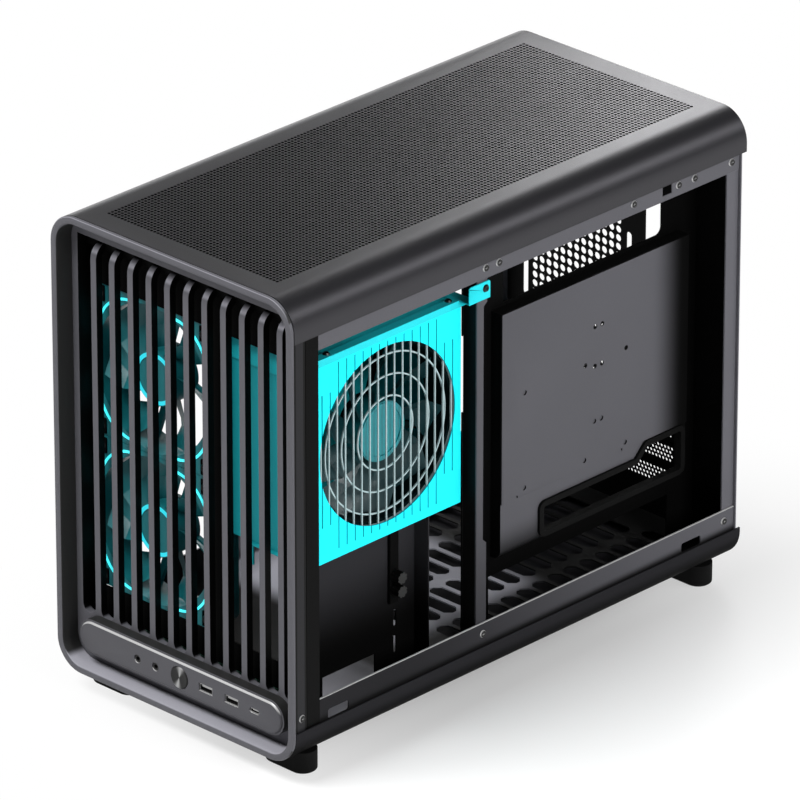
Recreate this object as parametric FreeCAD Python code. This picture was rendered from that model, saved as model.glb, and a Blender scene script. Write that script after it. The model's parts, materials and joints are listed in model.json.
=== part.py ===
import FreeCAD, Part
import math
import os

V = FreeCAD.Vector
X_AXIS = V(1, 0, 0)
Y_AXIS = V(0, 1, 0)
Z_AXIS = V(0, 0, 1)

# Micro-ATX tower case, millimetres. The front faces -Y, the open side faces +X.
# While it is built, y counts from the front rim and z from the rim's lower edge.
# The finished pieces are moved so that the origin lies under the middle of the feet.

# Overall size
width = 242.0
depth = 473.0
height = 363.0
corner_radius = 24.0
foot_height = 17.0

# Sheets and clearances
skin = 1.5
sheet = 1.2
fit = 0.3
skin_gap = 1.7
top_gap = 12.3
floor_gap = 8.5

# Front rim
rim_lip = 3.0
rim_wall = 6.0
rim_depth = 16.0
rim_edge = 0.8

# Slatted front
slat_count = 13
slat_width = 5.6
slat_depth = 6.0
slat_bend = 12.0
slat_top_drop = 25.0
band_drop = 20.0
slot_floor = 42.0
grille_depth = 12.8
grille_web = 3.0

# Control bar on the front
bar_side_gap = 18.0
bar_height = 25.0
bar_set_back = 5.7
bar_ledge = 1.5
bar_step = 1.6
bar_centre = 29.2
bar_chamfer = 1.2
jack_places = (-43.1, -24.7)
jack_bore = 3.6
jack_barrel = 6.0
button_place = 0.0
button_diameter = 17.0
button_stem = 7.0
button_travel = 1.0
usb_a_places = (26.7, 52.9)
usb_a_size = (13.1, 5.6)
usb_c_place = 76.2
usb_c_size = (9.0, 3.2)
port_shell = 0.5
port_recess = 0.7
board_thickness = 1.6
board_margin = 16.0
board_height = 20.0

# Chassis
floor_bend = 14.0
top_bend = 8.0
top_rail_height = 31.0
bottom_rail_height = 35.0
skirt_height = 31.0
tray_height = 27.0
rear_recess = 3.0
rear_post = 12.0
mid_post_gap = 5.5
mid_post_face = 10.5
mid_post_narrow = 7.0
mid_post_slope = 4.0
mid_post_low = 111.0
mid_post_high = 296.0
mid_post_depth = 14.0
ear_reach = 12.5
ear_hole = 7.5
roof_margin = 22.0
boss_radius = 5.0

# Air openings of the roof, as a grid
roof_grid_columns = 8
roof_grid_rows = 20
roof_grid_side = 35.2
roof_grid_front = 22.0
roof_grid_rear = 18.7
roof_grid_web = 6.6

# Floor vents
vent_side_margin = 24.6
vent_web = 8.0
vent_width = 13.0
vent_pitch_y = 17.0
vent_columns = 4
vent_start = 212.0
vent_end_margin = 14.0
rail_slot_length = 21.0
rail_slot_height = 6.5
rail_slot_front = 19.0
rail_slot_rear = 46.8
latch_length = 10.0
latch_height = 8.0
latch_rear = 77.8
vent_corner = 4.5

# Front fans
fan_size = 120.0
fan_thickness = 25.0
fan_wall = 2.5
fan_hole_inset = 7.5
fan_hole = 4.4
fan_hub = 42.0
shaft_radius = 1.6
fan_blades = 7
fan_side_gap = 8.6
fan_floor_gap = 50.3
fan_gap = 0.5
fan_corner = 7.0
fan_ring_width = 1.8
fan_ring_margin = 4.0

# Power supply
psu_thickness = 86.0
psu_width = 150.0
psu_length = 160.0
psu_side_gap = 11.8
psu_front_gap = 7.0
psu_headroom = 45.8
psu_opening_margin = 6.0
psu_flange = 4.5
psu_bar_count = 17
psu_bar_pitch = 8.3
psu_groove = 1.0
psu_groove_depth = 0.8
guard_wire = 1.1
guard_rings = (28.0, 44.5, 61.0)
guard_flange = 3.5
psu_fan_size = 140.0
psu_fan_wall = 3.0
psu_fan_hub = 46.0
psu_fan_blades = 9
inlet_inset_x = 26.0
inlet_inset_y = 35.0
inlet_size = (27.0, 20.0)
rocker_inset_x = 30.0
rocker_inset_y = 67.0
rocker_size = (13.0, 19.0)
rocker_depth = 8.0
rocker_tilt = 10.0

# Motherboard side
pan_inset = 31.8
pan_depth = 10.0
pan_length = 199.0
pan_rear_gap = 19.8
pan_low = 66.0
pan_high = 263.0
pan_bend = 8.0
drive_plate_low = 111.0
tray_length = 248.8
tray_low = 50.0
tray_high = 266.0
tray_leg = 28.0
tray_upright = 38.0
tray_corner = 6.0
tray_tab = 42.0
tray_tab_high = 300.0
tray_notch = 8.0
tray_notch_low = 192.0
tray_notch_high = 253.0
tray_hole_inset = 12.0
tray_hole_z = 262.0
tray_hole = 4.2
standoff_height = 6.5
standoff_flats = 5.0
standoff_bore = 2.5
board_hole_rear = 12.0
board_hole_top = 258.0
board_columns = (0.0, 154.94, 227.33)
board_rows = (0.0, 157.48, 203.2)
cable_length = 152.0
cable_rear_gap = 5.0
cable_low = 73.0
cable_high = 97.0
cable_step = 50.0
cable_radius = 4.0
rubber_lip = 2.5
rubber_proud = 2.4

# Partition under the power supply
partition_inset = 37.8
partition_back = 166.0
partition_flange = 15.0
shelf_width = 50.0
partition_window = (70.0, 124.0)
partition_window_height = 19.0
partition_slots = 2
partition_slot_size = (3.0, 13.6)
partition_slot_y = 143.2
partition_slot_low = 28.0
partition_slot_pitch = 21.0
strip_front = 137.0
strip_width = 9.0
strip_thickness = 3.0
strip_low = 70.0
knob_places = (81.5, 92.4)
knob_radius = 4.6
knob_length = 8.0

# Rear panel
slot_pitch = 20.32
slot_count = 4
slot_gap = 14.5
slot_length = 106.0
slot_inset = 14.0
slot_low = 46.0
io_height = 158.75
io_width = 44.45
io_inset = 6.5
io_low = 122.0
rear_fan_inset = 73.1
rear_fan_slot = 84.0
rear_fan_slot_z = 192.0
rear_fan_slot_width = 5.5
rear_grid_columns = 6
rear_grid_rows = 12
rear_grid_width = 91.0
rear_grid_low = 116.5
rear_grid_height = 176.4
rear_grid_web = 5.0
rear_inlet_x = -84.0
rear_inlet_z = 62.0

# Screws and feet
screw_head = 6.0
screw_head_height = 1.3
screw_shank = 3.0
foot_length = 44.0
foot_width = 21.0
foot_edge = 2.0
foot_side_gap = 10.3
foot_inset_front = 30.5
foot_inset_rear = 23.0
rail_screws_mid = (7.5, 21.0)
rail_screws_rear = (113.8, 65.8, 48.8, 8.8)
rail_screws_low = (6.0, 10.8)

half_width = width / 2
rail_outer = half_width - skin - skin_gap
rail_inner = rail_outer - sheet
body_half = half_width - skin - fit
roof_under = height - skin - top_gap - sheet
floor_under = skin + floor_gap
floor_top = floor_under + sheet
frame_front = rim_depth + grille_depth
frame_back = frame_front + sheet
rear_face = depth - rear_recess
rear_inside = rear_face - sheet
skin_front = rim_lip + fit
bar_front = bar_set_back
bar_depth = rim_depth - bar_set_back
bar_length = width - 2 * bar_side_gap
board_front = frame_front - board_thickness
fan_bore = fan_size - 2 * fan_wall
fan_hole_pitch = fan_size - 2 * fan_hole_inset
fan_x = -rail_inner + fan_side_gap + fan_size / 2
fan_edge = fan_x + fan_size / 2
fan_low = floor_top + fan_floor_gap
fan_spacing = fan_size + fan_gap
psu_face = rail_outer - psu_side_gap
psu_inner = psu_face - psu_thickness
psu_beside_fans = psu_inner > fan_edge + sheet
psu_front = frame_back + psu_front_gap + (0.0 if psu_beside_fans else fan_thickness)
psu_back = psu_front + psu_width
psu_top = roof_under - psu_headroom
psu_bottom = psu_top - psu_length
psu_mid_y = psu_front + psu_width / 2
psu_mid_z = psu_bottom + psu_length / 2
psu_opening = psu_width - 2 * psu_opening_margin
psu_fan_bore = psu_fan_size - 2 * psu_fan_wall
psu_fan_hole_pitch = psu_fan_size - 2 * fan_hole_inset
psu_fan_front = psu_face - sheet - 2 * guard_wire
inlet_x = psu_inner + inlet_inset_x
inlet_y = psu_front + inlet_inset_y
rocker_x = psu_inner + rocker_inset_x
rocker_y = psu_front + rocker_inset_y
mid_post_y = psu_back + mid_post_gap
ear_back = mid_post_y + ear_reach
ear_hole_y = mid_post_y + ear_hole
ear_hole_z = psu_top + 8.5
pan_face = rail_outer - pan_inset
pan_back = rear_inside - pan_rear_gap
pan_front = pan_back - pan_length
tray_face = pan_face - pan_depth
tray_front = max(rear_inside - tray_length, psu_back + mid_post_gap)
cable_back = pan_back - cable_rear_gap
cable_front = cable_back - cable_length
cable_step_y = cable_back - cable_step
partition_x = rail_outer - partition_inset
partition_shelf = partition_x - shelf_width
io_right = tray_face - io_inset
slot_inner = tray_face - slot_inset
rear_fan_x = -rail_inner + rear_fan_inset
foot_x = half_width - foot_side_gap - foot_length / 2
vent_room = 2 * (rail_inner - vent_side_margin) - (vent_columns - 1) * vent_web
vent_length = vent_room / vent_columns
vent_pitch_x = vent_length + vent_web
vent_rows = int((rear_inside - vent_end_margin - vent_start) / vent_pitch_y)


def block(x0, x1, y0, y1, z0, z1):
    return Part.makeBox(x1 - x0, y1 - y0, z1 - z0, V(x0, y0, z0))


def rod(radius, start, axis, length):
    return Part.makeCylinder(radius, length, start, axis)


def join(solids):
    solids = list(solids)
    return solids[0].multiFuse(solids[1:]).removeSplitter()


def edges_along(solid, axis, keep=None):
    found = []
    for edge in solid.Edges:
        if edge.Curve.TypeId != "Part::GeomLine":
            continue
        along = edge.Curve.Direction
        if abs(along.dot(axis)) > 0.99 and (keep is None or keep(edge.CenterOfMass)):
            found.append(edge)
    return found


def rounded(solid, axis, radius, keep=None):
    return solid.makeFillet(radius, edges_along(solid, axis, keep))


def section(half, z0, z1, low_radius, high_radius, y0, y1):
    # Upright rounded rectangle, drawn out along the depth of the case
    solid = block(-half, half, y0, y1, z0, z1)
    middle = (z0 + z1) / 2
    solid = rounded(solid, Y_AXIS, low_radius, lambda c: c.z < middle)
    return rounded(solid, Y_AXIS, high_radius, lambda c: c.z > middle)


def slot_along(x, z, length, thick, y0, y1, axis):
    # Round-ended slot through a wall that faces the front or the rear
    if axis == X_AXIS:
        solid = block(x - length / 2, x + length / 2, y0, y1, z - thick / 2, z + thick / 2)
    else:
        solid = block(x - thick / 2, x + thick / 2, y0, y1, z - length / 2, z + length / 2)
    return rounded(solid, Y_AXIS, thick * 0.499)


def save(name, shape):
    pieces = shape.Solids
    result = pieces[0] if len(pieces) == 1 else Part.makeCompound(pieces)
    result = result.copy()
    result.translate(V(0, -depth / 2, foot_height))
    result.exportStep("parts/" + name + ".step")


def screw(place, out, head=screw_head, shank_length=0.0):
    # Pan head with a cross recess, seated at place and pointing outwards
    side = V(0, 0, 1) if abs(out.z) < 0.5 else V(1, 0, 0)
    other = out.cross(side)
    body = Part.makeCone(head / 2, head * 0.36, screw_head_height, place, out)
    for along, across in ((side, other), (other, side)):
        arm = Part.makeBox(head * 0.5, head * 0.12, screw_head_height)
        arm.translate(V(-head * 0.25, -head * 0.06, screw_head_height * 0.45))
        turn = FreeCAD.Matrix(along.x, across.x, out.x, place.x,
                              along.y, across.y, out.y, place.y,
                              along.z, across.z, out.z, place.z,
                              0, 0, 0, 1)
        if turn.determinant() < 0:
            turn = FreeCAD.Matrix(-along.x, across.x, out.x, place.x,
                                  -along.y, across.y, out.y, place.y,
                                  -along.z, across.z, out.z, place.z,
                                  0, 0, 0, 1)
        body = body.cut(arm.transformGeometry(turn))
    if shank_length > 0:
        body = body.fuse(rod(screw_shank / 2, place, out * -1, shank_length)).removeSplitter()
    return body


def front_rim():
    body_inset = half_width - body_half + 0.1
    lip = section(half_width, 0, height, corner_radius, corner_radius, 0, rim_lip)
    body = section(half_width - body_inset, body_inset, height - body_inset,
                   corner_radius - body_inset, corner_radius - body_inset, rim_lip, rim_depth)
    window = section(half_width - rim_wall, rim_wall, height - rim_wall,
                     corner_radius - rim_wall, corner_radius - rim_wall, -1, rim_depth + 1)
    ring = join([lip, body]).cut(window)
    front_edges = [e for e in ring.Edges if max(v.Y for v in e.Vertexes) < 0.01]
    return ring.makeChamfer(rim_edge, front_edges)


def slat_profile():
    # Side view of a slat: an upright bar whose top bends back into the case
    top = height - slat_top_drop
    front = rim_depth
    back = rim_depth + slat_depth
    rear = rim_depth + grille_depth
    low = rim_wall
    inner = slat_bend - slat_depth
    turn = math.sqrt(0.5)
    centre_y = front + slat_bend
    centre_z = top - slat_bend

    def arc(radius, from_point, to_point):
        middle = V(0, centre_y - radius * turn, centre_z + radius * turn)
        return Part.Arc(from_point, middle, to_point).toShape()

    points = [V(0, front, low), V(0, front, centre_z), V(0, centre_y, top), V(0, rear, top),
              V(0, rear, top - slat_depth), V(0, centre_y, top - slat_depth),
              V(0, back, centre_z), V(0, back, low)]
    edges = [Part.makeLine(points[0], points[1]),
             arc(slat_bend, points[1], points[2]),
             Part.makeLine(points[2], points[3]),
             Part.makeLine(points[3], points[4]),
             Part.makeLine(points[4], points[5]),
             arc(inner, points[5], points[6]),
             Part.makeLine(points[6], points[7]),
             Part.makeLine(points[7], points[0])]
    return Part.Face(Part.Wire(edges))


def front_grille():
    inset = half_width - body_half + 0.1
    half = half_width - inset
    rear = rim_depth + grille_depth
    radius = corner_radius - inset
    outline = section(half, inset, height - inset, radius, radius, rim_depth, rear)
    field_half = half_width - rim_wall
    pitch = (2 * field_half - slat_width) / (slat_count - 1)
    slot = pitch - slat_width
    band_low = height - band_drop
    sheet_body = slat_profile().extrude(V(2 * half, 0, 0))
    sheet_body.translate(V(-half, 0, 0))
    side_wall = field_half - slat_width
    frame = outline.cut(block(-side_wall, side_wall, rim_depth - 1, rear + 1, -1, height + 1))
    lower = outline.common(block(-half, half, rim_depth, rim_depth + slat_depth, 0, slot_floor + slot))
    band = outline.common(block(-half, half, rim_depth, rim_depth + grille_web, band_low, height))
    lid = outline.common(block(-half, half, rim_depth, rear, height - rim_wall, height))
    spine = outline.common(block(-half, half, rear - grille_web, rear,
                                 height - slat_top_drop - slat_depth, height))
    body = join([sheet_body.common(outline), frame, lower, band, lid, spine])
    for index in range(slat_count - 1):
        left = -field_half + slat_width + index * pitch
        middle = left + slot / 2
        opening = block(left, left + slot, rim_depth - 1, rear - grille_web,
                        slot_floor + slot / 2, band_low)
        end = rod(slot / 2, V(middle, rim_depth - 1, slot_floor + slot / 2), Y_AXIS, slat_depth + 2)
        body = body.cut(join([opening, end]))
    port_window = block(jack_places[0] - board_margin / 2, usb_c_place + board_margin / 2,
                        rim_depth - 1, rim_depth + slat_depth + 1,
                        bar_centre - bar_height * 0.4, bar_centre + bar_height * 0.4)
    return body.cut(port_window)


def control_bar():
    # Face plate with a bevelled edge on a body that stands out around it
    face = slot_along(0, bar_centre, bar_length, bar_height, bar_front, bar_front + bar_step, X_AXIS)
    edges = [e for e in face.Edges if max(v.Y for v in e.Vertexes) < bar_front + 0.01]
    face = face.makeChamfer(bar_chamfer, edges)
    body = slot_along(0, bar_centre, bar_length + 2 * bar_ledge, bar_height + 2 * bar_ledge,
                      bar_front + bar_step, rim_depth, X_AXIS)
    bar = join([face, body])
    y0 = bar_front - 1
    through = bar_depth + 2
    for place in jack_places:
        bar = bar.cut(rod(jack_barrel / 2 + fit, V(place, y0, bar_centre), Y_AXIS, through))
    bar = bar.cut(rod(button_diameter / 2 + fit, V(button_place, y0, bar_centre), Y_AXIS, through))
    for place in usb_a_places:
        bar = bar.cut(block(place - usb_a_size[0] / 2 - fit, place + usb_a_size[0] / 2 + fit,
                            y0, y0 + through,
                            bar_centre - usb_a_size[1] / 2 - fit, bar_centre + usb_a_size[1] / 2 + fit))
    return bar.cut(slot_along(usb_c_place, bar_centre, usb_c_size[0] + 2 * fit, usb_c_size[1] + 2 * fit,
                              y0, y0 + through, X_AXIS))


def power_button():
    cap = rod(button_diameter / 2, V(button_place, bar_front - port_recess, bar_centre),
              Y_AXIS, bar_depth + port_recess)
    front = [e for e in cap.Edges if e.CenterOfMass.y < bar_front - port_recess + 0.01]
    cap = cap.makeFillet(rim_edge, [e for e in front if e.Closed])
    dish_depth = port_recess * 0.6
    dish_radius = (button_diameter ** 2 / 5 + dish_depth ** 2) / (2 * dish_depth)
    dish = Part.makeSphere(dish_radius, V(button_place, bar_front - port_recess + dish_depth - dish_radius,
                                          bar_centre))
    flange = rod(button_diameter / 2 + 1.0, V(button_place, rim_depth, bar_centre), Y_AXIS, sheet)
    stem_end = switch_front() - button_travel - fit
    stem = rod(button_stem / 2, V(button_place, rim_depth, bar_centre), Y_AXIS, stem_end - rim_depth)
    return join([cap.cut(dish), flange, stem])


def switch_front():
    return board_front - 3.8


def power_switch():
    size = 3.0
    body = block(button_place - size, button_place + size, board_front - 2.6, board_front,
                 bar_centre - size, bar_centre + size)
    plunger = rod(1.75, V(button_place, switch_front(), bar_centre), Y_AXIS, 1.2)
    return join([body, plunger])


def audio_jacks():
    jacks = []
    for place in jack_places:
        start = V(place, bar_front + port_recess, bar_centre)
        barrel = rod(jack_barrel / 2, start, Y_AXIS, rim_depth + 1 - start.y)
        half = jack_barrel * 0.62
        body = block(place - half, place + half, rim_depth + 1, board_front,
                     bar_centre - half, bar_centre + half)
        bore = rod(jack_bore / 2, start, Y_AXIS, board_front - 2 - start.y)
        jacks.append(join([barrel, body]).cut(bore))
    return Part.makeCompound(jacks)


def usb_a_ports():
    ports = []
    wide, tall = usb_a_size
    front = bar_front + port_recess
    for place in usb_a_places:
        shell = block(place - wide / 2, place + wide / 2, front, board_front,
                      bar_centre - tall / 2, bar_centre + tall / 2)
        cavity = block(place - wide / 2 + port_shell, place + wide / 2 - port_shell, front, board_front - 4,
                       bar_centre - tall / 2 + port_shell, bar_centre + tall / 2 - port_shell)
        tongue = block(place - wide * 0.4, place + wide * 0.4, front + 1.2, board_front - 4,
                       bar_centre + tall * 0.02, bar_centre + tall * 0.34)
        ports.append(join([shell.cut(cavity), tongue]))
    return Part.makeCompound(ports)


def usb_c_port():
    wide, tall = usb_c_size
    front = bar_front + port_recess
    shell = slot_along(usb_c_place, bar_centre, wide, tall, front, board_front, X_AXIS)
    cavity = slot_along(usb_c_place, bar_centre, wide - 2 * port_shell, tall - 2 * port_shell,
                        front, board_front - 4, X_AXIS)
    tongue = block(usb_c_place - wide * 0.36, usb_c_place + wide * 0.36, front + 1, board_front - 4,
                   bar_centre - tall * 0.11, bar_centre + tall * 0.11)
    return join([shell.cut(cavity), tongue])


def port_board():
    return block(jack_places[0] - board_margin, usb_c_place + board_margin, board_front, frame_front,
                 bar_centre - board_height / 2, bar_centre + board_height / 2)


def chassis_inside(y0, y1):
    return section(rail_inner, floor_top, roof_under, floor_bend - sheet, top_bend - sheet, y0, y1)


def chassis_ring():
    outer = section(rail_outer, floor_under, roof_under + sheet, floor_bend, top_bend,
                    frame_front, rear_inside)
    return outer.cut(chassis_inside(frame_front - 1, rear_inside + 1))


def fan_places():
    return [fan_low + fan_size / 2 + index * fan_spacing for index in range(2)]


def fan_corners(centre_z):
    reach = fan_hole_pitch / 2
    return [V(fan_x + sx * reach, 0, centre_z + sz * reach) for sx in (-1, 1) for sz in (-1, 1)]


def front_frame():
    panel = chassis_inside(frame_front, frame_back)
    ear = (fan_size - fan_hole_pitch) / 2 + fan_hole
    half = fan_size / 2 + fit
    low = fan_places()[0] - half
    high = fan_places()[-1] + half
    opening = block(fan_x - half, fan_x + half, frame_front - 1, frame_back + 1, low, high)
    for centre_z in fan_places():
        for corner in fan_corners(centre_z):
            sx = 1 if corner.x > fan_x else -1
            x_edge = fan_x + sx * half
            pad = block(min(x_edge, x_edge - sx * ear), max(x_edge, x_edge - sx * ear),
                        frame_front - 2, frame_back + 2, corner.z - ear / 2, corner.z + ear / 2)
            opening = opening.cut(pad)
    panel = panel.cut(opening)
    side_low = fan_x + half + ear
    panel = panel.cut(rounded(block(side_low, rail_inner - ear, frame_front - 1, frame_back + 1, low, high),
                              Y_AXIS, floor_bend / 2))
    for centre_z in fan_places():
        for corner in fan_corners(centre_z):
            panel = panel.cut(rod(fan_hole / 2, V(corner.x, frame_front - 1, corner.z), Y_AXIS, sheet + 2))
    return panel


def top_frame():
    low = roof_under + sheet - top_rail_height
    frame = chassis_ring().common(block(-width, width, 0, depth, low, height))
    opening = block(-rail_outer + roof_margin, rail_outer - roof_margin,
                    frame_back + roof_margin, rear_inside - roof_margin,
                    roof_under - 1, roof_under + sheet + 1)
    frame = frame.cut(rounded(opening, Z_AXIS, top_bend))
    hole_z = low + screw_head * 1.4
    latch_y = rear_inside - latch_rear
    latch = block(rail_inner - 1, rail_outer + 1, latch_y - latch_length / 2, latch_y + latch_length / 2,
                  hole_z - latch_height / 2, hole_z + latch_height / 2)
    return frame.cut(latch)


def floor_panel():
    high = floor_under + bottom_rail_height
    floor = chassis_ring().common(block(-width, width, 0, depth, 0, high))
    vents = []
    for column in range(vent_columns):
        x = (column - (vent_columns - 1) / 2) * vent_pitch_x
        shift = vent_pitch_y / 2 if column % 2 else 0.0
        for row in range(vent_rows):
            y = vent_start + shift + row * vent_pitch_y
            vent = block(x - vent_length / 2, x + vent_length / 2, y - vent_width / 2, y + vent_width / 2,
                         floor_under - 1, floor_top + 1)
            vents.append(vent.makeChamfer(vent_corner, edges_along(vent, Z_AXIS)))
    floor = floor.cut(Part.makeCompound(vents))
    half = rail_slot_length / 2
    for y in (frame_back + rail_slot_front, rear_inside - rail_slot_rear):
        slot = block(rail_inner - 1, rail_outer + 1, y - half, y + half,
                     tray_height - 1, tray_height + rail_slot_height)
        floor = floor.cut(rounded(slot, X_AXIS, 2.0))
    return floor


def skin_ring(y0, y1):
    outer = section(half_width, 0, height, corner_radius, corner_radius, y0, y1)
    return outer.cut(skin_inside(y0 - 1, y1 + 1))


def corner_places(x, front, back):
    return [(sx * x, y) for sx in (-1, 1) for y in (front, back)]


def skin_inside(y0, y1):
    return section(half_width - skin, skin, height - skin, corner_radius - skin, corner_radius - skin, y0, y1)


def grid_places(start, length, count, web):
    # Start and end of each opening in a row of equal openings with webs between them
    pitch = length / count
    starts = [start + index * pitch for index in range(count)]
    return [(low + web / 2, low + pitch - web / 2) for low in starts]


def top_cover():
    cover = skin_ring(skin_front, depth).common(block(-width, width, 0, depth, height - skirt_height, height))
    x = rail_outer - roof_margin + boss_radius
    inside = skin_inside(skin_front, depth)
    pins = [rod(boss_radius, V(px, py, roof_under + sheet), Z_AXIS, top_gap).common(inside)
            for px, py in corner_places(x, frame_back + roof_margin * 2, rear_inside - roof_margin * 2)]
    field_half = half_width - roof_grid_side
    across = grid_places(-field_half, 2 * field_half, roof_grid_columns, roof_grid_web)
    field_length = depth - roof_grid_rear - roof_grid_front
    along = grid_places(roof_grid_front, field_length, roof_grid_rows, roof_grid_web)
    grid = [block(x0, x1, y0, y1, height - 2 * skin, height + 1) for x0, x1 in across for y0, y1 in along]
    return join([cover] + pins).cut(Part.makeCompound(grid))


def bottom_tray():
    tray = skin_ring(skin_front, depth).common(block(-width, width, 0, depth, 0, tray_height))
    bosses = [rod(boss_radius, V(px, py, skin), Z_AXIS, floor_gap)
              for px, py in corner_places(foot_x, foot_inset_front + 15, depth - foot_inset_rear - 15)]
    return join([tray] + bosses)


def slot_places():
    return [slot_low + index * slot_pitch for index in range(slot_count)]


def rear_panel():
    inset = skin + fit
    panel = section(half_width - inset, inset, height - inset, corner_radius - inset, corner_radius - inset,
                    rear_inside, rear_face)
    y0 = rear_inside - 1
    y1 = rear_face + 1
    panel = panel.cut(block(io_right - io_width, io_right, y0, y1, io_low, io_low + io_height))
    for z in slot_places():
        panel = panel.cut(block(slot_inner - slot_length, slot_inner, y0, y1,
                                z - slot_gap / 2, z + slot_gap / 2))
    for side in (-1, 1):
        panel = panel.cut(slot_along(rear_fan_x + side * fan_hole_pitch / 2, rear_fan_slot_z, rear_fan_slot,
                                     rear_fan_slot_width, y0, y1, Z_AXIS))
    across = grid_places(rear_fan_x - rear_grid_width / 2, rear_grid_width, rear_grid_columns, rear_grid_web)
    upward = grid_places(rear_grid_low, rear_grid_height, rear_grid_rows, rear_grid_web)
    grid = [block(x0, x1, y0, y1, z0, z1) for x0, x1 in across for z0, z1 in upward]
    panel = panel.cut(Part.makeCompound(grid))
    inlet_half_x = inlet_size[0] / 2 + fit
    inlet_half_z = inlet_size[1] / 2 + fit
    panel = panel.cut(block(rear_inlet_x - inlet_half_x, rear_inlet_x + inlet_half_x, y0, y1,
                            rear_inlet_z - inlet_half_z, rear_inlet_z + inlet_half_z))
    posts = chassis_inside(rear_inside - rear_post, rear_inside)
    half_inner = rail_inner - sheet
    posts = posts.cut(block(-half_inner, half_inner, 0, depth, 0, height))
    posts = posts.common(block(-width, width, 0, depth, floor_top + floor_bend, roof_under - top_bend))
    return join([panel, posts])


def slot_covers():
    covers = []
    for z in slot_places():
        half = slot_pitch / 2 - fit
        plate = block(slot_inner - slot_length - 10, slot_inner + 4, rear_inside - sheet, rear_inside,
                      z - half, z + half)
        lug = block(slot_inner - slot_length - 10, slot_inner - slot_length - 10 + sheet,
                    rear_inside - 9, rear_inside - sheet, z - half, z + half)
        covers.append(join([plate, lug]))
    return Part.makeCompound(covers)


def slot_screws():
    x = slot_inner - slot_length - 5
    return Part.makeCompound([screw(V(x, rear_inside - sheet, z), Y_AXIS * -1) for z in slot_places()])


def mains_inlet(centre, out, side):
    # Panel inlet: flange, three-pin well and body, built along +Z and then turned
    long_side, short_side = inlet_size
    flange = rounded(block(-long_side / 2 - 3, long_side / 2 + 3, -short_side / 2 - 3, short_side / 2 + 3,
                           0, 2.0), Z_AXIS, 3.0)
    body = block(-long_side / 2, long_side / 2, -short_side / 2, short_side / 2, -18, 0)
    well = rounded(block(-long_side * 0.44, long_side * 0.44, -short_side * 0.39, short_side * 0.39,
                         -14, 3), Z_AXIS, 3.0)
    inlet = join([flange, body]).cut(well)
    pins = [block(x - 1, x + 1, y - 2, y + 2, -14, -2) for x, y in ((-7, -2), (7, -2), (0, 3))]
    inlet = join([inlet] + pins)
    up = out.cross(side)
    turn = FreeCAD.Matrix(side.x, up.x, out.x, centre.x,
                          side.y, up.y, out.y, centre.y,
                          side.z, up.z, out.z, centre.z,
                          0, 0, 0, 1)
    return inlet.transformGeometry(turn)


def mid_post():
    face = block(rail_inner - sheet, rail_inner, mid_post_y, mid_post_y + mid_post_face, 0, height)
    web = block(rail_inner - mid_post_depth, rail_inner, mid_post_y, mid_post_y + sheet, 0, height)
    narrow = mid_post_y + mid_post_narrow
    edge = mid_post_y + mid_post_face + 1
    waist = [V(rail_inner - 2 * sheet, y, z) for y, z in ((narrow, mid_post_low),
                                                          (edge, mid_post_low - mid_post_slope),
                                                          (edge, mid_post_high + mid_post_slope),
                                                          (narrow, mid_post_high))]
    waist = Part.Face(Part.makePolygon(waist + waist[:1])).extrude(V(3 * sheet, 0, 0))
    post = join([face.cut(waist), web])
    return post.common(chassis_inside(mid_post_y - 1, edge))


def motherboard_tray():
    x0 = tray_face - sheet
    plate = block(x0, tray_face, tray_front, rear_inside, tray_low, tray_high)
    legs = [block(x0, tray_face, tray_front, tray_front + tray_leg, floor_top, tray_low),
            block(x0, tray_face, rear_inside - tray_leg, rear_inside, floor_top, tray_low)]
    upright = block(x0, tray_face, rear_inside - tray_upright, rear_inside, tray_high, roof_under)
    tab = block(x0, tray_face, tray_front, tray_front + tray_tab, tray_high, tray_tab_high)
    foot_flange = block(tray_face, tray_face + pan_depth, tray_front, tray_front + tray_leg,
                        floor_top, floor_top + sheet)
    tray = join([plate, upright, tab, foot_flange] + legs)
    inside = V(0, rear_inside - tray_upright, tray_high)
    tray = rounded(tray, X_AXIS, tray_corner,
                   lambda c: abs(c.y - inside.y) < 0.1 and abs(c.z - inside.z) < 0.1)
    window = block(x0 - 1, tray_face + 1, pan_front + 38, pan_back - 24, drive_plate_low + 36, pan_high - 20)
    tray = tray.cut(rounded(window, X_AXIS, 8))
    notch = block(x0 - 1, tray_face + 1, tray_front - 1, tray_front + tray_notch,
                  tray_notch_low, tray_notch_high)
    tray = tray.cut(rounded(notch, X_AXIS, 2.5, lambda c: c.y > tray_front))
    hole = V(x0 - 1, tray_front + tray_hole_inset, tray_hole_z)
    tray = tray.cut(rod(tray_hole / 2, hole, X_AXIS, sheet + 2))
    cable = block(x0 - 1, tray_face + 1, cable_front - 4, cable_back + pan_depth + 2,
                  cable_low - 4, cable_high)
    return tray.cut(cable)


def board_places():
    # Only the columns of holes that the tray is long enough for
    rear = rear_inside - board_hole_rear
    columns = [rear - column for column in board_columns if rear - column > tray_front + standoff_flats]
    return [(y, board_hole_top - row) for y in columns for row in board_rows]


def standoffs():
    pieces = []
    for y, z in board_places():
        hexagon = Part.makePolygon([V(0, math.cos(math.radians(60 * k)), math.sin(math.radians(60 * k)))
                                    * (standoff_flats / math.sqrt(3)) for k in range(7)])
        post = Part.Face(hexagon).extrude(V(-standoff_height, 0, 0))
        post = post.cut(rod(standoff_bore / 2, V(-standoff_height - 1, 0, 0), X_AXIS, standoff_height))
        post.translate(V(tray_face - sheet, y, z))
        pieces.append(post)
    return Part.makeCompound(pieces)


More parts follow.
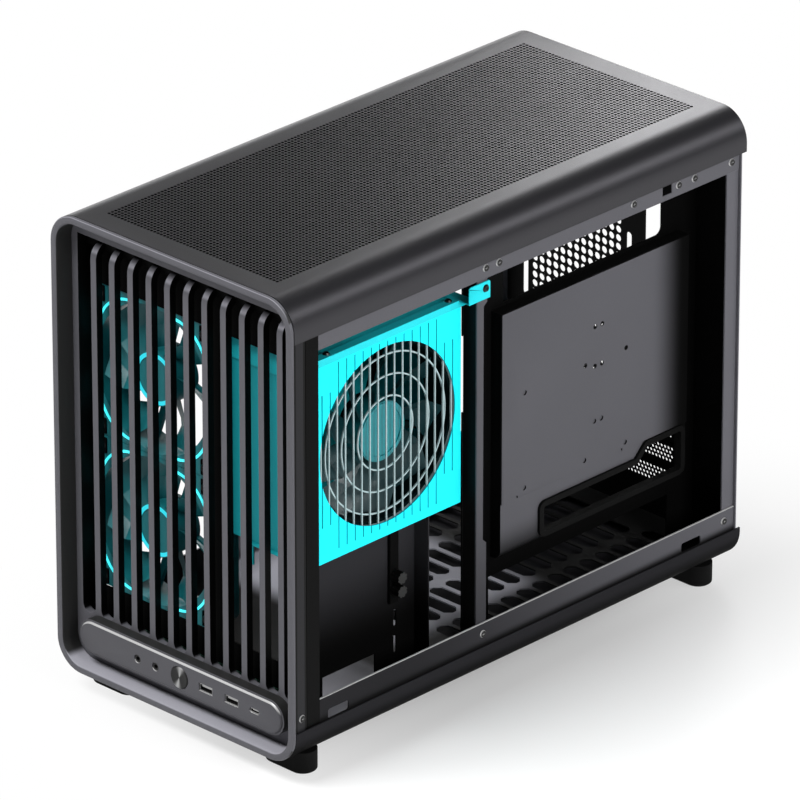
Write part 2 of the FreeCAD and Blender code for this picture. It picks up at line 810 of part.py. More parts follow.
def cable_outline(grow, x0, x1):
    high = drive_plate_low - rubber_lip - fit
    corners = [(cable_front, cable_low), (cable_front, cable_high), (cable_step_y, cable_high),
               (cable_step_y + 11, high), (cable_back, high), (cable_back, cable_low)]
    wire = Part.makePolygon([V(x0, y, z) for y, z in corners + corners[:1]])
    solid = Part.Face(wire).extrude(V(x1 - x0, 0, 0))
    solid = solid.makeFillet(cable_radius, edges_along(solid, X_AXIS))
    if grow == 0:
        return solid
    base = [f for f in solid.Faces if abs(f.CenterOfMass.x - x0) < 0.01][0]
    return Part.Face(base.OuterWire.makeOffset2D(grow)).extrude(V(x1 - x0, 0, 0))


def drive_pan():
    outer = block(tray_face, pan_face, pan_front, pan_back, pan_low, pan_high)
    outer = rounded(outer, Y_AXIS, pan_bend, lambda c: c.x > pan_face - 1 and c.z < pan_low + 1)
    inner = block(tray_face - 1, pan_face - sheet, pan_front + sheet, pan_back - sheet,
                  pan_low + sheet, pan_high - sheet)
    inner = rounded(inner, Y_AXIS, pan_bend - sheet, lambda c: c.x > tray_face and c.z < pan_low + 2 * sheet)
    pan = outer.cut(inner)
    pan = pan.cut(cable_outline(0, pan_face - 2 * sheet, pan_face + 1))
    window = block(pan_face - 2 * sheet, pan_face + 1, pan_front + 40, pan_back - 40,
                   drive_plate_low + 40, pan_high - 30)
    return pan.cut(rounded(window, X_AXIS, 6))


def drive_plate():
    plate = block(pan_face, pan_face + sheet, pan_front, pan_back, drive_plate_low, pan_high)
    hole_y = pan_front + 24
    ssd_rows = (drive_plate_low + 6, drive_plate_low + 6 + 76.6)
    ssd_columns = (hole_y, hole_y + 61.72 + 2.5, hole_y + 108)
    hdd_columns = (hole_y + 74.5, hole_y + 82)
    hdd_rows = (drive_plate_low + 34.4, drive_plate_low + 34.4 + 44.45, drive_plate_low + 34.4 + 76.2)
    holes = [(y, z) for y in ssd_columns for z in ssd_rows]
    holes += [(y, z) for y in hdd_columns for z in hdd_rows]
    for y, z in holes:
        plate = plate.cut(rod(1.9, V(pan_face - 1, y, z), X_AXIS, sheet + 2))
    for y in (pan_front + 10, pan_front + 122):
        plate = plate.cut(block(pan_face - 1, pan_face + sheet + 1, y - 7, y + 7,
                                drive_plate_low - 1, drive_plate_low + 2.2))
    return plate


def cable_grommet():
    x1 = pan_face + rubber_proud
    lip = cable_outline(rubber_lip, pan_face, x1)
    sleeve = cable_outline(-fit, pan_face - sheet - rubber_proud, pan_face)
    hole = cable_outline(-2.0, pan_face - sheet - rubber_proud - 1, x1 + 1)
    return join([lip, sleeve]).cut(hole)


def lower_partition():
    shelf_low = psu_bottom - sheet
    wall = block(partition_x, partition_x + sheet, frame_back, partition_back, floor_top, shelf_low)
    shelf = block(partition_shelf, partition_x + sheet, psu_front + 6, partition_back, shelf_low, psu_bottom)
    end = block(partition_x, partition_x + partition_flange, partition_back - sheet, partition_back,
                floor_top, shelf_low)
    body = join([wall, shelf, end])
    low = floor_top + 4
    window = block(partition_x - 1, partition_x + sheet + 1, partition_window[0], partition_window[1],
                   low, low + partition_window_height)
    body = body.cut(window)
    slot_wide, slot_tall = partition_slot_size
    for index in range(partition_slots):
        z = partition_slot_low + index * partition_slot_pitch
        body = body.cut(block(partition_x - 1, partition_x + sheet + 1, partition_slot_y,
                              partition_slot_y + slot_wide, z, z + slot_tall))
    return body


def clamp_strip():
    x0 = partition_x + sheet
    strip = block(x0, x0 + strip_thickness, strip_front, strip_front + strip_width,
                  strip_low, psu_bottom - sheet)
    return rounded(strip, Z_AXIS, 1.0, lambda c: c.x > x0 + 1)


def thumb_screws():
    x0 = partition_x + sheet + strip_thickness
    y = strip_front + strip_width / 2
    knobs = []
    for z in knob_places:
        knob = rod(knob_radius, V(x0, y, z), X_AXIS, knob_length)
        for k in range(8):
            angle = math.radians(45 * k)
            start = V(x0 + 1.5, y + knob_radius * math.cos(angle), z + knob_radius * math.sin(angle))
            flute = rod(0.8, start, X_AXIS, knob_length)
            knob = knob.cut(flute)
        knobs.append(knob)
    return Part.makeCompound(knobs)


def fan_frame_local(size, bore, thickness, hole_pitch, hole, hub, corner):
    # Axis along +Z, air intake at z = 0, stator and struts at the back
    half = size / 2
    frame = rounded(block(-half, half, -half, half, 0, thickness), Z_AXIS, corner)
    frame = frame.cut(rod(bore / 2, V(0, 0, -1), Z_AXIS, thickness + 2))
    for sx in (-1, 1):
        for sy in (-1, 1):
            frame = frame.cut(rod(hole / 2, V(sx * hole_pitch / 2, sy * hole_pitch / 2, -1), Z_AXIS,
                                  thickness + 2))
    reach = half - (size - hole_pitch)
    for k in range(4):
        pocket = block(half - 1.0, half + 1, -reach, reach, thickness * 0.24, thickness * 0.76)
        pocket.rotate(V(0, 0, 0), Z_AXIS, 90 * k)
        frame = frame.cut(pocket)
    base = rod(hub / 2, V(0, 0, thickness - 3.5), Z_AXIS, 3.5)
    post = rod(4.5, V(0, 0, thickness * 0.36), Z_AXIS, thickness * 0.5)
    struts = []
    for k in range(4):
        strut = block(0, bore / 2 + 1, -2.5, 2.5, thickness - 3.5, thickness)
        strut.rotate(V(0, 0, 0), Z_AXIS, 90 * k + 20)
        struts.append(strut)
    frame = join([frame, base, post] + struts)
    return frame.cut(rod(shaft_radius + fit, V(0, 0, 0), Z_AXIS, thickness + 1))


def fan_rotor_local(bore, thickness, hub, blades, ring):
    # Cup, shaft and swept blades about +Z
    tip = bore / 2 - 1.2
    cup_top = thickness * 0.1
    cup_end = thickness - 3.5 - 1.2
    cup = rod(hub / 2, V(0, 0, cup_top), Z_AXIS, cup_end - cup_top)
    cup = cup.cut(rod(hub / 2 - 2.5, V(0, 0, cup_top + 2.5), Z_AXIS, thickness))
    shaft = rod(shaft_radius, V(0, 0, cup_top), Z_AXIS, thickness - 1.5 - cup_top)
    face_ring = rod(hub / 2 - 1.0, V(0, 0, cup_top - ring), Z_AXIS, ring)
    face_ring = face_ring.cut(rod(hub / 2 - 4.0, V(0, 0, cup_top - ring - 1), Z_AXIS, ring + 2))
    blade_solids = []
    mid_height = (cup_top + cup_end) / 2
    span = cup_end - cup_top - 1.5
    for index in range(blades):
        wires = []
        for share, pitch, sweep in ((0.0, 48, 0), (0.5, 36, 11), (1.0, 26, 26)):
            radius = hub / 2 - 1.5 + share * (tip + 4 - hub / 2)
            chord = span / math.sin(math.radians(pitch)) * (0.96 - 0.12 * share)
            angle = math.radians(360.0 / blades * index + sweep)
            out = V(math.cos(angle), math.sin(angle), 0)
            around = V(-math.sin(angle), math.cos(angle), 0)
            lean = math.radians(pitch)
            along = around * math.cos(lean) + Z_AXIS * math.sin(lean)
            thick = around * -math.sin(lean) + Z_AXIS * math.cos(lean)
            centre = out * radius + Z_AXIS * mid_height
            belly = thick * (chord * 0.09)
            points = [centre - along * (chord / 2), centre - thick * 0.8 + belly,
                      centre + along * (chord / 2), centre + thick * 0.8 + belly]
            wires.append(Part.makePolygon(points + points[:1]))
        blade_solids.append(Part.makeLoft(wires, True, True))
    hollow = rod(hub / 2 - 2.5, V(0, 0, cup_top + 2.5), Z_AXIS, thickness)
    envelope = rod(tip, V(0, 0, cup_top), Z_AXIS, cup_end - cup_top).cut(hollow)
    return join([cup, shaft, face_ring] + [blade.common(envelope) for blade in blade_solids])


def place_front_fan(shape, centre_z):
    # Fan axis turned from +Z to the depth of the case
    turned = shape.copy()
    turned.rotate(V(0, 0, 0), X_AXIS, -90)
    turned.translate(V(fan_x, frame_back, centre_z))
    return turned


def place_psu_fan(shape):
    # Fan axis turned from +Z so that the intake looks out of the open side
    turned = shape.copy()
    turned.rotate(V(0, 0, 0), Y_AXIS, -90)
    turned.translate(V(psu_fan_front, psu_mid_y, psu_mid_z))
    return turned


def fan_light_ring():
    half = fan_size / 2 - fan_ring_margin
    radius = half * 0.62
    proud = sheet * 0.6
    outer = rounded(block(-half, half, -half, half, -proud, 0), Z_AXIS, radius)
    inner_half = half - fan_ring_width
    inner = rounded(block(-inner_half, inner_half, -inner_half, inner_half, -proud - 1, 1), Z_AXIS,
                    radius - fan_ring_width)
    ring = outer.cut(inner)
    return ring.cut(rod(fan_bore / 2 + fit, V(0, 0, -proud - 1), Z_AXIS, proud + 2))


def fan_screws():
    screws = []
    for centre_z in fan_places():
        for corner in fan_corners(centre_z):
            screws.append(screw(V(corner.x, frame_front, corner.z), Y_AXIS * -1, screw_head + 1, sheet + 8))
    return Part.makeCompound(screws)


def psu_housing():
    outer = block(psu_inner, psu_face - sheet, psu_front, psu_back, psu_bottom, psu_top)
    inner = block(psu_inner + sheet, psu_face, psu_front + sheet, psu_back - sheet,
                  psu_bottom + sheet, psu_top - sheet)
    shell = outer.cut(inner)
    half_x = inlet_size[1] / 2 + fit
    half_y = inlet_size[0] / 2 + fit
    shell = shell.cut(block(inlet_x - half_x, inlet_x + half_x, inlet_y - half_y, inlet_y + half_y,
                            psu_top - 2 * sheet, psu_top + 1))
    half_x = rocker_size[1] / 2 + fit
    half_y = rocker_size[0] / 2 + fit
    shell = shell.cut(block(rocker_x - half_x, rocker_x + half_x, rocker_y - half_y, rocker_y + half_y,
                            psu_top - 2 * sheet, psu_top + 1))
    return shell


def psu_bar_places():
    middle = (psu_bar_count - 1) / 2
    return [psu_mid_y + (index - middle) * psu_bar_pitch for index in range(psu_bar_count)]


def psu_fan_panel():
    x0 = psu_face - sheet
    panel = block(x0, psu_face, psu_front, psu_back, psu_bottom, psu_top)
    panel = panel.cut(rod(psu_opening / 2, V(x0 - 1, psu_mid_y, psu_mid_z), X_AXIS, sheet + 2))
    grooves = []
    for y in psu_bar_places():
        margin = 7.0 if abs(y - psu_mid_y) < psu_opening * 0.4 else 28.0
        grooves.append(block(psu_face - psu_groove_depth, psu_face + 1,
                             y - psu_groove / 2, y + psu_groove / 2,
                             psu_bottom + margin, psu_top - margin))
    return panel.cut(Part.makeCompound(grooves))


def psu_guard():
    # Wire guard behind the opening: upright wires in front, rings behind them, flange round the outside
    x1 = psu_face - sheet
    outside = psu_opening / 2 + guard_flange

    def ring(inner, outer, x_from, thick):
        body = rod(outer, V(x_from, psu_mid_y, psu_mid_z), X_AXIS, thick)
        return body.cut(rod(inner, V(x_from - 1, psu_mid_y, psu_mid_z), X_AXIS, thick + 2))

    flange = ring(psu_opening / 2 + fit, outside, x1 - 2 * guard_wire, 2 * guard_wire)
    disc = rod(outside - fit, V(x1 - guard_wire, psu_mid_y, psu_mid_z), X_AXIS, guard_wire)
    half_wire = guard_wire / 2
    wires = [block(x1 - guard_wire, x1, y - half_wire, y + half_wire, psu_bottom, psu_top).common(disc)
             for y in psu_bar_places()]
    rings = [ring(radius - guard_wire / 2, radius + guard_wire / 2, x1 - 2 * guard_wire, guard_wire)
             for radius in guard_rings]
    return join([flange] + wires + rings)


def psu_rocker_frame():
    half_x = rocker_size[1] / 2
    half_y = rocker_size[0] / 2
    flange = block(rocker_x - half_x - 2, rocker_x + half_x + 2, rocker_y - half_y - 2, rocker_y + half_y + 2,
                   psu_top, psu_top + 1.6)
    body = block(rocker_x - half_x, rocker_x + half_x, rocker_y - half_y, rocker_y + half_y,
                 psu_top - rocker_depth - 4, psu_top)
    well = block(rocker_x - half_x + 1.5, rocker_x + half_x - 1.5, rocker_y - half_y + 1.5,
                 rocker_y + half_y - 1.5, psu_top - rocker_depth - 2.5, psu_top + 2)
    pin = rod(1.0, V(rocker_x, rocker_y - half_y + 1, rocker_pivot()), Y_AXIS, rocker_size[0] - 2)
    return join([join([flange, body]).cut(well), pin])


def rocker_pivot():
    return psu_top - 2.0


def psu_rocker():
    half_x = rocker_size[1] / 2 - 1.5 - fit
    half_y = rocker_size[0] / 2 - 1.5 - fit
    pivot = rocker_pivot()
    tilt = math.radians(rocker_tilt)
    rise = 3.4
    reach = half_x - 0.9
    points = [V(-reach, 0, rise), V(0, 0, rise - reach * math.sin(tilt) * 0.8), V(reach, 0, rise),
              V(reach * 0.8, 0, -3.0), V(-reach * 0.8, 0, -3.0)]
    profile = Part.Face(Part.makePolygon(points + points[:1]))
    body = profile.extrude(V(0, 2 * half_y, 0))
    body.translate(V(rocker_x, rocker_y - half_y, pivot))
    body = body.cut(rod(1.0 + fit, V(rocker_x, rocker_y - half_y - 1, pivot), Y_AXIS, 2 * half_y + 2))
    body.rotate(V(rocker_x, rocker_y, pivot), Y_AXIS, rocker_tilt)
    return body


def psu_bracket():
    low = psu_top
    high = psu_top + sheet
    x0 = psu_inner - 6
    x1 = psu_face + fit + sheet
    y0 = psu_front - fit - sheet
    arm_back = mid_post_y - fit
    plate = block(x0, x1, y0, arm_back, low, high)
    window = block(psu_inner + 6, psu_face - 6, psu_front + 6, psu_back - 6, low - 1, high + 1)
    back_flange = block(x0, x0 + sheet, y0 + 12, arm_back, high, high + 14)
    front_flange = block(psu_inner + 5, psu_face - 8, y0, y0 + sheet, low - 20, low)
    face_flange = block(x1 - sheet, x1, y0, arm_back, low - psu_flange, low)
    arm = block(x1, rail_outer, arm_back - 9, arm_back, low, high)
    ear = block(rail_inner, rail_outer, arm_back - 9, ear_back, low, low + 13.8)
    ear = rounded(ear, X_AXIS, 2.0, lambda c: c.z > low + 1)
    bracket = join([plate.cut(window), back_flange, front_flange, face_flange, arm, ear])
    return bracket.cut(rod(screw_shank / 2 + fit, V(rail_inner - 1, ear_hole_y, ear_hole_z), X_AXIS, 4))


def psu_foot_clip():
    low = psu_bottom - sheet
    y0 = frame_back + 4
    x0 = max(partition_shelf + 6, fan_edge + 2)
    plate = block(x0, partition_x - 4, y0, psu_front + 6 - fit, low, psu_bottom)
    tab = block(x0, x0 + 12, y0, y0 + sheet, low - 15, low)
    clip = join([plate, tab])
    return clip.cut(rod(2.0, V(x0 + 6, y0 - 1, low - 8), Y_AXIS, sheet + 2))


def psu_screws():
    places = [(psu_inner + 3, psu_front + 16), (psu_inner + 3, psu_back - 10),
              (psu_face - 3.2, psu_front + 16), (psu_face - 3.2, psu_back - 10)]
    screws = [screw(V(x, y, psu_top + sheet), Z_AXIS, screw_head - 0.4) for x, y in places]
    screws.append(screw(V(rail_outer, ear_hole_y, ear_hole_z), X_AXIS, screw_head, sheet))
    return Part.makeCompound(screws)


def rail_screws():
    z_top = roof_under + sheet - top_rail_height + screw_head * 1.4
    z_low = tray_height + screw_head * 1.5
    right = [(mid_post_y + step, z_top) for step in rail_screws_mid]
    right += [(rear_inside - step, z_top) for step in rail_screws_rear]
    right += [(mid_post_y + rail_screws_low[0], z_low), (rear_inside - rail_screws_low[1], z_low)]
    end_gap = rail_screws_rear[2]
    left_places = (frame_back + end_gap, (frame_back + rear_inside) / 2, rear_inside - end_gap)
    left = [(y, z) for y in left_places for z in (z_top, z_low)]
    screws = [screw(V(rail_outer, y, z), X_AXIS) for y, z in right]
    screws += [screw(V(-rail_outer, y, z), X_AXIS * -1) for y, z in left]
    return Part.makeCompound(screws)


def rim_screws():
    x = body_half - 0.1
    z = tray_height + screw_head * 1.6
    y = (rim_lip + rim_depth) / 2 + 1.3
    return Part.makeCompound([screw(V(side * x, y, z), X_AXIS * side) for side in (-1, 1)])


def foot(x, y):
    # Long foot with round ends, softened where it meets the table
    half_x = foot_length / 2
    half_y = foot_width / 2
    body = block(x - half_x, x + half_x, y - half_y, y + half_y, -foot_height, 0)
    body = rounded(body, Z_AXIS, half_y * 0.98)
    return body.makeFillet(foot_edge, [e for e in body.Edges if e.CenterOfMass.z < -foot_height + 0.01])


def build():
    os.makedirs("parts", exist_ok=True)
    save("front_rim", front_rim())
    save("front_grille", front_grille())
    save("control_bar", control_bar())
    save("power_button", power_button())
    save("power_switch", power_switch())
    save("audio_jacks", audio_jacks())
    save("usb_a_ports", usb_a_ports())
    save("usb_c_port", usb_c_port())
    save("port_board", port_board())
    save("front_frame", front_frame())
    save("top_frame", top_frame())
    save("floor_panel", floor_panel())
    save("top_cover", top_cover())
    save("bottom_tray", bottom_tray())
    save("rear_panel", rear_panel())
    save("slot_covers", slot_covers())
    save("slot_screws", slot_screws())
    save("rear_inlet", mains_inlet(V(rear_inlet_x, rear_face, rear_inlet_z), Y_AXIS, X_AXIS * -1))
    save("mid_post", mid_post())
    save("motherboard_tray", motherboard_tray())
    save("standoffs", standoffs())
    save("drive_pan", drive_pan())
    save("drive_plate", drive_plate())
    save("cable_grommet", cable_grommet())
    save("lower_partition", lower_partition())
    save("clamp_strip", clamp_strip())
    save("thumb_screws", thumb_screws())
    frame = fan_frame_local(fan_size, fan_bore, fan_thickness, fan_hole_pitch, fan_hole, fan_hub, fan_corner)
    rotor = fan_rotor_local(fan_bore, fan_thickness, fan_hub, fan_blades, 0.8)
    ring = fan_light_ring()
    for label, centre_z in zip(("lower", "upper"), fan_places()):
        save("fan_frame_" + label, place_front_fan(frame, centre_z))
        save("fan_rotor_" + label, place_front_fan(rotor, centre_z))
        save("fan_ring_" + label, place_front_fan(ring, centre_z))
    save("fan_screws", fan_screws())
    save("psu_housing", psu_housing())
    save("psu_fan_panel", psu_fan_panel())
    save("psu_guard", psu_guard())
    frame = fan_frame_local(psu_fan_size, psu_fan_bore, fan_thickness, psu_fan_hole_pitch, fan_hole,
                            psu_fan_hub, fan_corner)
    rotor = fan_rotor_local(psu_fan_bore, fan_thickness, psu_fan_hub, psu_fan_blades, 0.8)
    save("psu_fan_frame", place_psu_fan(frame))
    save("psu_fan_rotor", place_psu_fan(rotor))
    save("psu_inlet", mains_inlet(V(inlet_x, inlet_y, psu_top), Z_AXIS, Y_AXIS))
    save("psu_rocker_frame", psu_rocker_frame())
    save("psu_rocker", psu_rocker())
    save("psu_bracket", psu_bracket())
    save("psu_foot_clip", psu_foot_clip())
    save("psu_screws", psu_screws())
    save("rail_screws", rail_screws())
    save("rim_screws", rim_screws())
    for label, x, y in (("front_left", -foot_x, foot_inset_front), ("front_right", foot_x, foot_inset_front),
                        ("rear_left", -foot_x, depth - foot_inset_rear),
                        ("rear_right", foot_x, depth - foot_inset_rear)):
        save("foot_" + label, foot(x, y))


build()
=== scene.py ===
import bpy
import json
import math
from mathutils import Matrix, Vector


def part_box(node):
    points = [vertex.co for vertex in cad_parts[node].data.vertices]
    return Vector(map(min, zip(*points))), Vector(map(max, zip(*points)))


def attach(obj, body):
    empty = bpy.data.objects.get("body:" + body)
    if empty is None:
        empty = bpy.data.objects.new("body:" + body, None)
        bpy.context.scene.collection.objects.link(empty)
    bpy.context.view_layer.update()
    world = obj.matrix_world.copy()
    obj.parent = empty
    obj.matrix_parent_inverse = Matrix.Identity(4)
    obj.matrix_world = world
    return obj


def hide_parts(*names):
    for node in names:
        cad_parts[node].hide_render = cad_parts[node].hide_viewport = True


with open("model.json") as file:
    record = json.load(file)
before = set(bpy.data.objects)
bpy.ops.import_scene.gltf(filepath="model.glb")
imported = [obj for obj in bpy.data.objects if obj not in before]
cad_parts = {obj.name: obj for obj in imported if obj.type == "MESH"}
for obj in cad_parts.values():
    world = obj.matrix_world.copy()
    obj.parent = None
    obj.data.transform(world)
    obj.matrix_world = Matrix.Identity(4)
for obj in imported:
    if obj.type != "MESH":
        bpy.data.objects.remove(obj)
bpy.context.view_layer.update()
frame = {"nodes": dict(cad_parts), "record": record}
nodes = frame["nodes"]
print("frame loaded:", len(nodes), "nodes")

meshing = {"doubles": 0.000002, "copies": 0.000005, "flatDegrees": 0.4, "smoothDegrees": 32}


def deselectAll():
    if bpy.context.object and bpy.context.object.mode != "OBJECT":
        bpy.ops.object.mode_set(mode="OBJECT")
    bpy.ops.object.select_all(action="DESELECT")


def activate(obj):
    deselectAll()
    obj.select_set(True)
    bpy.context.view_layer.objects.active = obj


def applied(obj, kind, **settings):
    activate(obj)
    modifier = obj.modifiers.new(kind.lower(), kind)
    for key, value in settings.items():
        setattr(modifier, key, value)
    bpy.ops.object.modifier_apply(modifier=modifier.name)
    return obj


def settled(obj):  # place and scale go into the mesh
    activate(obj)
    bpy.ops.object.transform_apply(location=True, rotation=True, scale=True)
    return obj


def smoothed(obj, degrees=meshing["smoothDegrees"]):
    activate(obj)
    bpy.ops.object.shade_smooth_by_angle(angle=math.radians(degrees))
    return obj


def nodeCopy(nodeName, pieceName):  # a merged copy of a CAD node, ready to be cut
    piece = bpy.data.objects.new(pieceName, nodes[nodeName].data.copy())
    bpy.context.scene.collection.objects.link(piece)
    activate(piece)
    bpy.ops.object.mode_set(mode="EDIT")
    bpy.ops.mesh.customdata_custom_splitnormals_clear()
    bpy.ops.mesh.select_all(action="SELECT")
    bpy.ops.mesh.remove_doubles(threshold=meshing["doubles"])
    bpy.ops.mesh.dissolve_limited(angle_limit=math.radians(meshing["flatDegrees"]))
    bpy.ops.object.mode_set(mode="OBJECT")
    return piece


def punched(piece, punch):  # boolean cut, the punch is thrown away
    applied(piece, "BOOLEAN", operation="DIFFERENCE", solver="EXACT", object=punch)
    bpy.data.objects.remove(punch)
    return piece


def rowOf(obj, count, step):
    return applied(obj, "ARRAY", count=count, use_relative_offset=False, use_constant_offset=True,
                   constant_offset_displace=step, use_merge_vertices=True,
                   merge_threshold=meshing["copies"])


def finished(piece, body, slotName, finish, *replaced):
    piece.data.materials.clear()
    piece.data.materials.append(finish)
    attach(piece, body)
    if replaced:
        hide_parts(*replaced)
    return piece


class Val:  # a socket that can be used in sums
    def __init__(self, finish, socket):
        self.finish = finish
        self.socket = socket

    def maths(self, operation, first, second):
        return self.finish.node("ShaderNodeMath", {"operation": operation}, {0: first, 1: second})

    def __add__(self, other):
        return self.maths("ADD", self, other)

    def __radd__(self, other):
        return self.maths("ADD", other, self)

    def __sub__(self, other):
        return self.maths("SUBTRACT", self, other)

    def __rsub__(self, other):
        return self.maths("SUBTRACT", other, self)

    def __mul__(self, other):
        return self.maths("MULTIPLY", self, other)

    def __rmul__(self, other):
        return self.maths("MULTIPLY", other, self)

    def __pow__(self, other):
        return self.maths("POWER", self, other)

    def __rpow__(self, other):
        return self.maths("POWER", other, self)


class Finish:  # one material and the nodes in it
    def __init__(self, name):
        self.material = bpy.data.materials.new(name)
        self.material.use_nodes = True
        self.tree = self.material.node_tree
        self.shader = self.tree.nodes["Principled BSDF"]
        self.place = self.node("ShaderNodeTexCoord", output="Object")

    def plug(self, sockets, inputs):
        for key, value in inputs.items():
            if isinstance(value, Val):
                self.tree.links.new(value.socket, sockets[key])
            else:
                sockets[key].default_value = value

    def node(self, kind, settings=None, inputs=None, output=0):
        made = self.tree.nodes.new(kind)
        for key, value in (settings or {}).items():
            setattr(made, key, value)
        self.plug(made.inputs, inputs or {})
        return Val(self, made.outputs[output])

    def feed(self, inputs):
        self.plug(self.shader.inputs, inputs)

    def noise(self, scale, detail, place=None):
        return self.node("ShaderNodeTexNoise", {},
                         {"Vector": place or self.place, "Scale": scale, "Detail": detail})

    def blend(self, factor, first, second):
        return self.node("ShaderNodeMix", {"data_type": "RGBA"}, {0: factor, 6: first, 7: second},
                         output=2)

    def axis(self, letter):
        return self.node("ShaderNodeSeparateXYZ", {}, {0: self.place}, output=letter)

    def around(self, letters, centre):  # two offsets from an axle, and the distance to it
        first = self.axis(letters[0]) - centre[0]
        second = self.axis(letters[1]) - centre[1]
        return first, second, (first * first + second * second) ** 0.5

    def clip(self, value, low, high):
        return self.node("ShaderNodeMapRange", {"interpolation_type": "SMOOTHSTEP"},
                         {0: value, 1: low, 2: high})

    def single(self, operation, value):
        return self.node("ShaderNodeMath", {"operation": operation}, {0: value})

    def size(self, value):
        return self.single("ABSOLUTE", value)

    def facing(self, letter):
        normal = self.node("ShaderNodeTexCoord", output="Normal")
        return self.node("ShaderNodeSeparateXYZ", {}, {0: normal}, output=letter)

    def bump(self, height, distance):
        return self.node("ShaderNodeBump", {}, {"Height": height, "Distance": distance, "Strength": 1.0})


def grey(level, tint=(1.0, 1.0, 1.0)):
    return (level * tint[0], level * tint[1], level * tint[2], 1.0)


def tone(colour, factor):  # the same colour, darker or lighter
    return tuple(min(1.0, channel * factor) for channel in colour[:3]) + (1.0,)


# masks for paint that changes over a piece, mostly painted light and shade; each pair is where a face begins
# to count and where it fully does
turned = {"side": (0.55, 0.8), "up": (0.3, 0.55), "down": (0.05, 0.6), "away": (0.5, 0.9)}


def outwards(low, high):  # 1 towards the two sides of the case
    return lambda f: f.clip(f.size(f.axis("X")), low, high)


def along(letter, low, high):  # 0 up to low, 1 from high on
    return lambda f: f.clip(f.axis(letter), low, high)


def sideways(f):  # 1 on faces that look to the left or the right
    return f.clip(f.size(f.facing("X")), *turned["side"])


def rightwards(f):
    return f.clip(f.facing("X"), *turned["side"])


def upwards(f):
    return f.clip(f.facing("Z"), *turned["up"])


def downwards(f):
    return f.clip(0.0 - f.facing("Z"), *turned["down"])


def away(f):  # 1 on faces that look to the left or the rear; these get the plain black paint, while the faces seen from the front and right keep the darker painted shade
    return f.clip(f.facing("Y") - f.facing("X"), *turned["away"])


def both(first, second):
    return lambda f: first(f) * second(f)


def unless(mask):
    return lambda f: 1.0 - mask(f)


# finishes
powderGrain = {"peel": 1500.0, "cloud": 14.0, "peelShare": 0.6, "dark": 0.84, "light": 1.16,
               "relief": 0.00006}
plainGloss = (1.0, 1.0, 1.0, 1.0)


def powderNoise(f):  # fine peel, broad clouds, and the two together
    peel = f.noise(powderGrain["peel"], 2.0)
    cloud = f.noise(powderGrain["cloud"], 3.0)
    share = powderGrain["peelShare"]
    return peel, cloud, peel * share + cloud * (1.0 - share)


def powderCoat(name, colour, rough, metal=0.0, specular=0.3, shades=(), gloss=plainGloss):
    f = Finish(name)  # fine orange peel over sheet metal, each further colour, mostly painted light or shade, lies where its mask is 1
    peel, cloud, mottle = powderNoise(f)

    def coat(level):
        return f.blend(mottle, tone(level, powderGrain["dark"]), tone(level, powderGrain["light"]))

    paint = coat(colour)
    for level, mask in shades:
        paint = f.blend(mask(f), paint, coat(level))
    f.feed({"Base Color": paint, "Roughness": rough * (0.9 + cloud * 0.2) + peel * 0.06,
            "Metallic": metal(f) if callable(metal) else metal,
            "Normal": f.bump(peel, powderGrain["relief"]),
            "Specular IOR Level": specular, "Specular Tint": gloss})
    return f.material


# glow is a painted glow on a panel that is no lamp; groove is the painted-shade colour of the grooves
supplyPanel = {"face": 0.1060, "glow": 0.12, "groove": (0.004, 0.22, 0.27, 1.0), "grooveStart": 0.0002,
               "grooveFloor": 0.0007, "dark": 0.94, "rough": 0.5, "specular": 0.05, "relief": 0.00005}


def glowingPaint(name, colour):  # cyan coat with a painted glow from emission that keeps its colour in the shade, and painted shade in the grooves
    f = Finish(name)
    peel, _, mottle = powderNoise(f)
    face = supplyPanel["face"]
    raised = f.clip(f.axis("X"), face - supplyPanel["grooveFloor"], face - supplyPanel["grooveStart"])
    paint = f.blend(mottle, tone(colour, supplyPanel["dark"]), colour)
    # painted shade in the grooves
    paint = f.blend(raised, supplyPanel["groove"], paint)
    f.feed({"Base Color": paint, "Emission Color": paint, "Emission Strength": supplyPanel["glow"],
            "Roughness": supplyPanel["rough"] + peel * 0.1, "Normal": f.bump(peel, supplyPanel["relief"]),
            "Specular IOR Level": supplyPanel["specular"]})
    return f.material


mouldGrain = {"pits": 2600.0, "drift": 40.0, "dark": 0.85, "light": 1.12, "spread": 0.12, "relief": 0.00004}


def mouldedPlastic(name, colour, rough, specular=0.4):  # spark-eroded texture
    f = Finish(name)
    pits = f.noise(mouldGrain["pits"], 1.0)
    drift = f.noise(mouldGrain["drift"], 2.0)
    spread = mouldGrain["spread"]
    shell = f.blend(drift, tone(colour, mouldGrain["dark"]), tone(colour, mouldGrain["light"]))
    f.feed({"Base Color": shell, "Roughness": rough + pits * spread - spread / 2,
            "Normal": f.bump(pits, mouldGrain["relief"]), "Specular IOR Level": specular})
    return f.material


fanLight = {"colour": (0.03, 0.80, 0.95, 1.0), "strength": 0.8, "rough": 0.3, "drift": 90.0,
            "inner": 0.0166, "outer": 0.0199, "soft": 0.0005, "capFace": -0.2046, "capDeep": 0.0004}
rotorRough = 0.34


def litDiffuser(name):
    f = Finish(name)
    pale = tuple(min(1.0, channel * 1.2 + 0.05) for channel in fanLight["colour"][:3]) + (1.0,)
    glow = f.blend(f.noise(fanLight["drift"], 2.0), fanLight["colour"], pale)
    f.feed({"Base Color": glow, "Emission Color": glow, "Emission Strength": fanLight["strength"],
            "Roughness": fanLight["rough"]})
    return f.material


